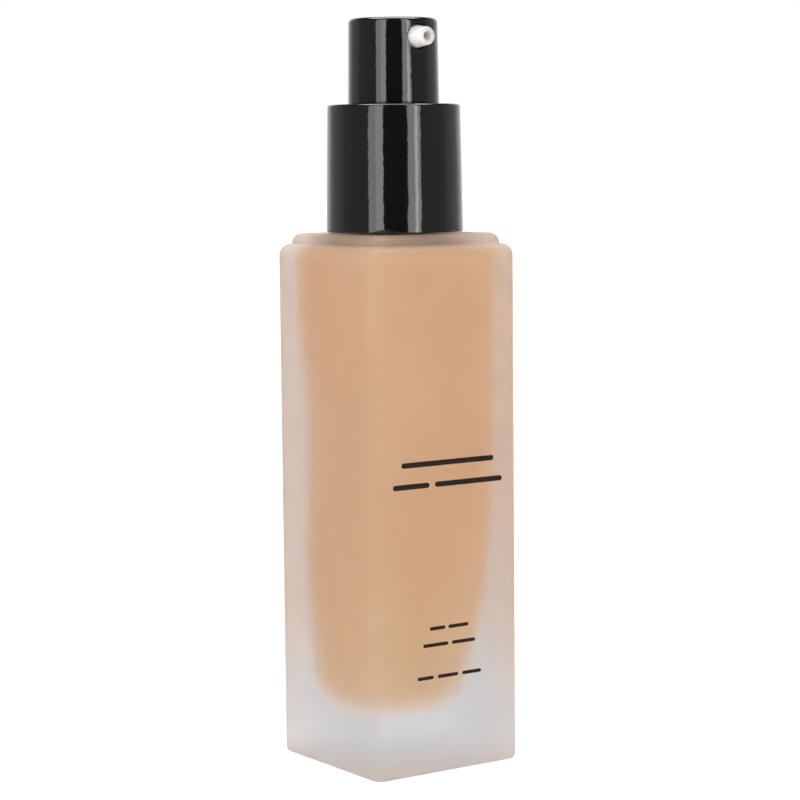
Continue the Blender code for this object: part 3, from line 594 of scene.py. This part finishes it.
def make_sleeve(surface):
    """The tapered cover, open underneath, with a hole in its top for the head."""
    low, high = SLEEVE_LOW.z, SLEEVE_HIGH.z
    bottom_radius = SLEEVE_HIGH.x
    edge, lip = SLEEVE_EDGE_RADIUS, SHELL_LIP_RADIUS
    profile = [
        *arc(SLEEVE_TOP_RADIUS - edge, high - edge, edge, 90, 0),
        *arc(bottom_radius - lip, low + lip, lip, 0, -90, segments=4),
        (bottom_radius - SHELL_WALL, low), (SLEEVE_TOP_RADIUS - SHELL_WALL, high - SHELL_WALL),
        (SLEEVE_HOLE_RADIUS, high - SHELL_WALL),
        *arc(SLEEVE_HOLE_RADIUS + lip, high - lip, lip, 180, 90, segments=4),
    ]
    sleeve = mesh_object("gloss_collar_sleeve", turned(profile), "closure", surface)
    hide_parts("collar_sleeve")


def make_head(surface):
    """The press head's shell, open underneath, with a round hole for the nozzle."""
    low, high = HEAD_LOW.z, HEAD_HIGH.z
    bottom_radius = HEAD_HIGH.x
    edge, lip = HEAD_EDGE_RADIUS, SHELL_LIP_RADIUS
    profile = [
        (0.0, high), *arc(HEAD_TOP_RADIUS - edge, high - edge, edge, 90, 0),
        *arc(bottom_radius - lip, low + lip, lip, 0, -90, segments=4),
        (bottom_radius - SHELL_WALL, low), (HEAD_TOP_RADIUS - SHELL_WALL, high - SHELL_WALL),
        (0.0, high - SHELL_WALL),
    ]
    shell = turned(profile, closed=False)
    head = mesh_object("gloss_press_head", shell, "head", surface)
    drill = turned([(NOZZLE_HOLE_RADIUS, HEAD_TOP_RADIUS / 2), (NOZZLE_HOLE_RADIUS, 2 * HEAD_TOP_RADIUS)],
                   steps=64, closed=False)
    boolean(head, towards_nozzle(drill), "DIFFERENCE")
    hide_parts("actuator_shell")


def make_nozzle(surface):
    """The tapered outlet, with its bore and the spigot that holds it in the head."""
    edge, lip = NOZZLE_EDGE_RADIUS, NOZZLE_LIP_RADIUS
    profile = [
        *arc(NOZZLE_TIP_RADIUS - edge, NOZZLE_TIP - edge, edge, 90, 0),
        (NOZZLE_ROOT_RADIUS, NOZZLE_ROOT), (SPIGOT_RADIUS, NOZZLE_ROOT),
        (SPIGOT_RADIUS, NOZZLE_ROOT - SPIGOT_LENGTH), (NOZZLE_BORE_RADIUS, NOZZLE_ROOT - SPIGOT_LENGTH),
        *arc(NOZZLE_BORE_RADIUS + lip, NOZZLE_TIP - lip, lip, 180, 90, segments=5),
    ]
    outlet = towards_nozzle(turned(profile, steps=72))
    nozzle = mesh_object("outlet_nozzle", outlet, "head", surface)
    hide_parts("nozzle")


def make_spring(surface, steps=36, wire_steps=10):
    """A coil with closed-up end turns, resting on the housing."""
    low, high = SPRING_LOW.z + SPRING_WIRE_RADIUS, SPRING_HIGH.z - SPRING_WIRE_RADIUS
    end_turn = 1 / SPRING_TURNS
    rise = (
        (0.0, low), (end_turn, low + SPRING_END_RISE), (1 - end_turn, high - SPRING_END_RISE), (1.0, high),
    )
    wire = arc(0, 0, SPRING_WIRE_RADIUS, 0, 360, wire_steps)[:-1]
    sections = []
    for i in range(SPRING_TURNS * steps + 1):
        bearing = math.tau * i / steps
        height = smooth_value(rise, i / (SPRING_TURNS * steps))
        section = [(SPRING_RADIUS + dr, height + dz) for dr, dz in wire]
        sections.append([(r * math.cos(bearing), r * math.sin(bearing), z) for r, z in section])
    spring = mesh_object("coil_spring", bridge(sections), "pump", surface)
    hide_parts("return_spring")
    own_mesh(spring)


def bar_with_round_ends(width, height, x, z):
    """A thin bar on the printed face, sunk as deep as it stands proud."""
    radius = height / 2
    outline = [(x + width / 2 - radius + dx, z + dz) for dx, dz in arc(0, 0, radius, -90, 90, 10)]
    outline += [(x - width / 2 + radius + dx, z + dz) for dx, dz in arc(0, 0, radius, 90, 270, 10)]
    outside, inside = -BODY_HALF - PRINT_LIFT, -BODY_HALF + PRINT_LIFT
    return bridge([[(px, y, pz) for px, pz in outline] for y in (outside, inside)])


def make_print(surface):
    """Bars in rows. Light that bounces between the glass and the liquid misses them, as they'd shade it."""
    for name, z, width, height, shares in PRINT_ROWS:
        gap = width * (1 - sum(shares)) / max(1, len(shares) - 1)
        x = -width / 2
        for number, share in enumerate(shares, 1):
            bar = width * share
            shape = bar_with_round_ends(bar, height, x + bar / 2, z)
            piece = mesh_object(f"print_{name}_{number}", shape, "bottle", surface)
            piece.visible_transmission = False
            piece.visible_glossy = False
            piece.visible_diffuse = False
            x += bar + gap


def dress_cad_nodes(white, steel):
    """Node materials for the CAD pieces that keep their own shape."""
    clear = plain_look("translucent_plastic_look", CLEAR_TONES, (0.28, 0.4), transmission=0.25)
    seal = plain_look("seal_look", SEAL_TONES, (0.5, 0.65))
    black = plain_look("satin_black_look", SATIN_BLACK_TONES, (0.3, 0.42))
    looks = {
        "screw_cap": black, "neck_gasket": seal, "pump_housing": clear, "chaplet": clear, "dip_tube": clear,
        "check_ball": steel, "stem": white, "piston_seat": white, "piston": seal, "actuator_core": white,
    }
    for node, look in looks.items():
        mesh = NODES[node].data
        mesh.materials.clear()
        mesh.materials.append(look)


# ---------------------------------------------------------------------- stage

def make_camera():
    """The camera looks at a point near the axis, from the photo's angle."""
    a, p, r = CAMERA_AZIMUTH, CAMERA_PITCH, CAMERA_ROLL
    back = Vector((math.sin(a) * math.cos(p), -math.cos(a) * math.cos(p), math.sin(p)))
    right = Vector((math.cos(a), math.sin(a), 0))
    up = back.cross(right)
    across = right * math.cos(r) + up * math.sin(r)
    upward = up * math.cos(r) - right * math.sin(r)
    place = Vector((0, 0, CAMERA_AIM_HEIGHT)) + right * CAMERA_AIM_SIDE + back * CAMERA_DISTANCE
    data = bpy.data.cameras.new("camera")
    data.lens = CAMERA_LENS
    data.sensor_width = CAMERA_SENSOR
    data.clip_start = CAMERA_CLIP
    camera = bpy.data.objects.new("camera", data)
    SCENE.collection.objects.link(camera)
    camera.matrix_world = Matrix.Translation(place) @ Matrix((across, upward, back)).transposed().to_4x4()
    SCENE.camera = camera


def make_floor():
    """A plain floor that glows a little, so that it stays white and lights the bottle's foot."""
    mesh = bpy.data.meshes.new("floor")
    bm = bmesh.new()
    bmesh.ops.create_grid(bm, x_segments=1, y_segments=1, size=FLOOR_HALF)
    bm.to_mesh(mesh)
    bm.free()
    surface = Surface("floor_look", Base_Color=FLOOR_GREY, Roughness=0.9, Specular_IOR_Level=0.0,
                      Emission_Color=FLOOR_GLOW, Emission_Strength=FLOOR_GLOW_STRENGTH)
    mesh.materials.append(surface.material)
    floor = bpy.data.objects.new("floor", mesh)
    SCENE.collection.objects.link(floor)
    floor.location.z = -FLOOR_DROP
    floor.visible_glossy = False


class World:
    """Nodes of a world whose light depends on the kind of ray that meets it."""

    def __init__(self, name):
        world = bpy.data.worlds.new(name)
        SCENE.world = world
        world.use_nodes = True
        self.tree = world.node_tree
        self.tree.nodes.clear()
        self.rays = self.tree.nodes.new("ShaderNodeLightPath")
        self.shader = None

    def background(self, grey):
        """A background of one grey, or of a grey that other nodes give."""
        node = self.tree.nodes.new("ShaderNodeBackground")
        if isinstance(grey, bpy.types.NodeSocket):
            self.tree.links.new(grey, node.inputs["Color"])
        else:
            node.inputs["Color"].default_value = (grey, grey, grey, 1.0)
        return node.outputs["Background"]

    def towards(self, axis, stops):
        """A grey that follows how far a direction turns towards an axis: from 0, away from it, to 1."""
        direction = self.tree.nodes.new("ShaderNodeTexCoord")
        facing = self.tree.nodes.new("ShaderNodeVectorMath")
        facing.operation = "DOT_PRODUCT"
        facing.inputs[1].default_value = axis
        share = self.tree.nodes.new("ShaderNodeMapRange")
        share.inputs["From Min"].default_value = -1.0
        grey = self.tree.nodes.new("ShaderNodeValToRGB")
        set_stops(grey.color_ramp, stops)
        self.tree.links.new(direction.outputs["Generated"], facing.inputs[0])
        self.tree.links.new(facing.outputs["Value"], share.inputs["Value"])
        self.tree.links.new(share.outputs["Result"], grey.inputs["Fac"])
        return grey.outputs["Color"]

    def times(self, grey, factor):
        node = self.tree.nodes.new("ShaderNodeVectorMath")
        node.operation = "MULTIPLY"
        self.tree.links.new(grey, node.inputs[0])
        self.tree.links.new(factor, node.inputs[1])
        return node.outputs["Vector"]

    def use_for_rest(self, background):
        """What every ray meets that use_for doesn't name, and what lights sampled from a surface see."""
        self.shader = background

    def use_for(self, ray, background):
        mix = self.tree.nodes.new("ShaderNodeMixShader")
        self.tree.links.new(self.rays.outputs[ray], mix.inputs["Fac"])
        self.tree.links.new(self.shader, mix.inputs[1])
        self.tree.links.new(background, mix.inputs[2])
        self.shader = mix.outputs["Shader"]

    def finish(self):
        out = self.tree.nodes.new("ShaderNodeOutputWorld")
        self.tree.links.new(self.shader, out.inputs["Surface"])


def make_world():
    """White for the eye. Reflections see a grey room: dark behind the camera and overhead, lighter at its
    sides, white behind the object. What comes through the glass, what lights the liquid inside it and what
    lights matt surfaces each have their own light."""
    left = (-1.0, 0.0, 0.0)
    up = (0.0, 0.0, 1.0)
    world = World("studio")
    through_glass = world.towards(left, GLASS_WORLD)
    world.use_for_rest(world.background(world.times(through_glass, world.towards(up, GLASS_HEIGHT))))
    towards_camera = (math.sin(CAMERA_AZIMUTH), -math.cos(CAMERA_AZIMUTH), 0.0)
    around = world.towards(towards_camera, REFLECTED_WORLD)
    overhead = world.towards(up, REFLECTED_HEIGHT)
    world.use_for("Is Glossy Ray", world.background(world.times(around, overhead)))
    world.use_for("Is Transmission Ray", world.background(through_glass))
    world.use_for("Diffuse Depth", world.background(world.towards(left, LIQUID_WORLD)))
    world.use_for("Is Diffuse Ray", world.background(world.towards(left, MATT_WORLD)))
    world.use_for("Is Camera Ray", world.background(1.0))
    world.finish()


def make_panel(name, place, width, height, radiance):
    """A rectangular light that faces down until it is turned. It shows in reflections only."""
    data = bpy.data.lights.new(name, "AREA")
    data.shape = "RECTANGLE"
    data.size = width
    data.size_y = height
    data.energy = radiance * math.pi * width * height
    light = bpy.data.objects.new(name, data)
    SCENE.collection.objects.link(light)
    light.location = place
    light.visible_camera = False
    light.visible_diffuse = False
    light.visible_transmission = False
    return light


def make_strip(name, bearing_deg, width_deg, radiance):
    """An upright strip light at a bearing round the bottle."""
    bearing = CAMERA_AZIMUTH - math.radians(90) + math.radians(bearing_deg)
    outwards = Vector((math.cos(bearing), math.sin(bearing), 0))
    place = outwards * STRIP_DISTANCE + Vector((0, 0, (STRIP_LOW + STRIP_HIGH) / 2))
    width = 2 * STRIP_DISTANCE * math.tan(math.radians(width_deg) / 2)
    light = make_panel(name, place, width, STRIP_HIGH - STRIP_LOW, radiance)
    light.rotation_euler = outwards.to_track_quat("Z", "Y").to_euler()


def make_top_light():
    """A panel over the bottle, its long side across the view."""
    light = make_panel("top_light", TOP_LIGHT_PLACE, *TOP_LIGHT_SIZE, TOP_LIGHT_RADIANCE)
    light.rotation_euler = (0, 0, CAMERA_AZIMUTH)


def main():
    make_camera()
    make_world()
    make_floor()
    for strip in STRIPS:
        make_strip(*strip)
    make_top_light()
    black = gloss_black()
    white = white_plastic()
    make_bottle(frosted_glass())
    make_liquid(foundation())
    make_sleeve(black)
    make_head(black)
    make_nozzle(white)
    make_print(ink())
    steel = plain_look("spring_steel_look", STEEL_TONES, (0.16, 0.3), metallic=1.0, grain=5000.0)
    make_spring(steel)
    dress_cad_nodes(white, steel)
    SCENE.view_settings.view_transform = "Standard"


main()
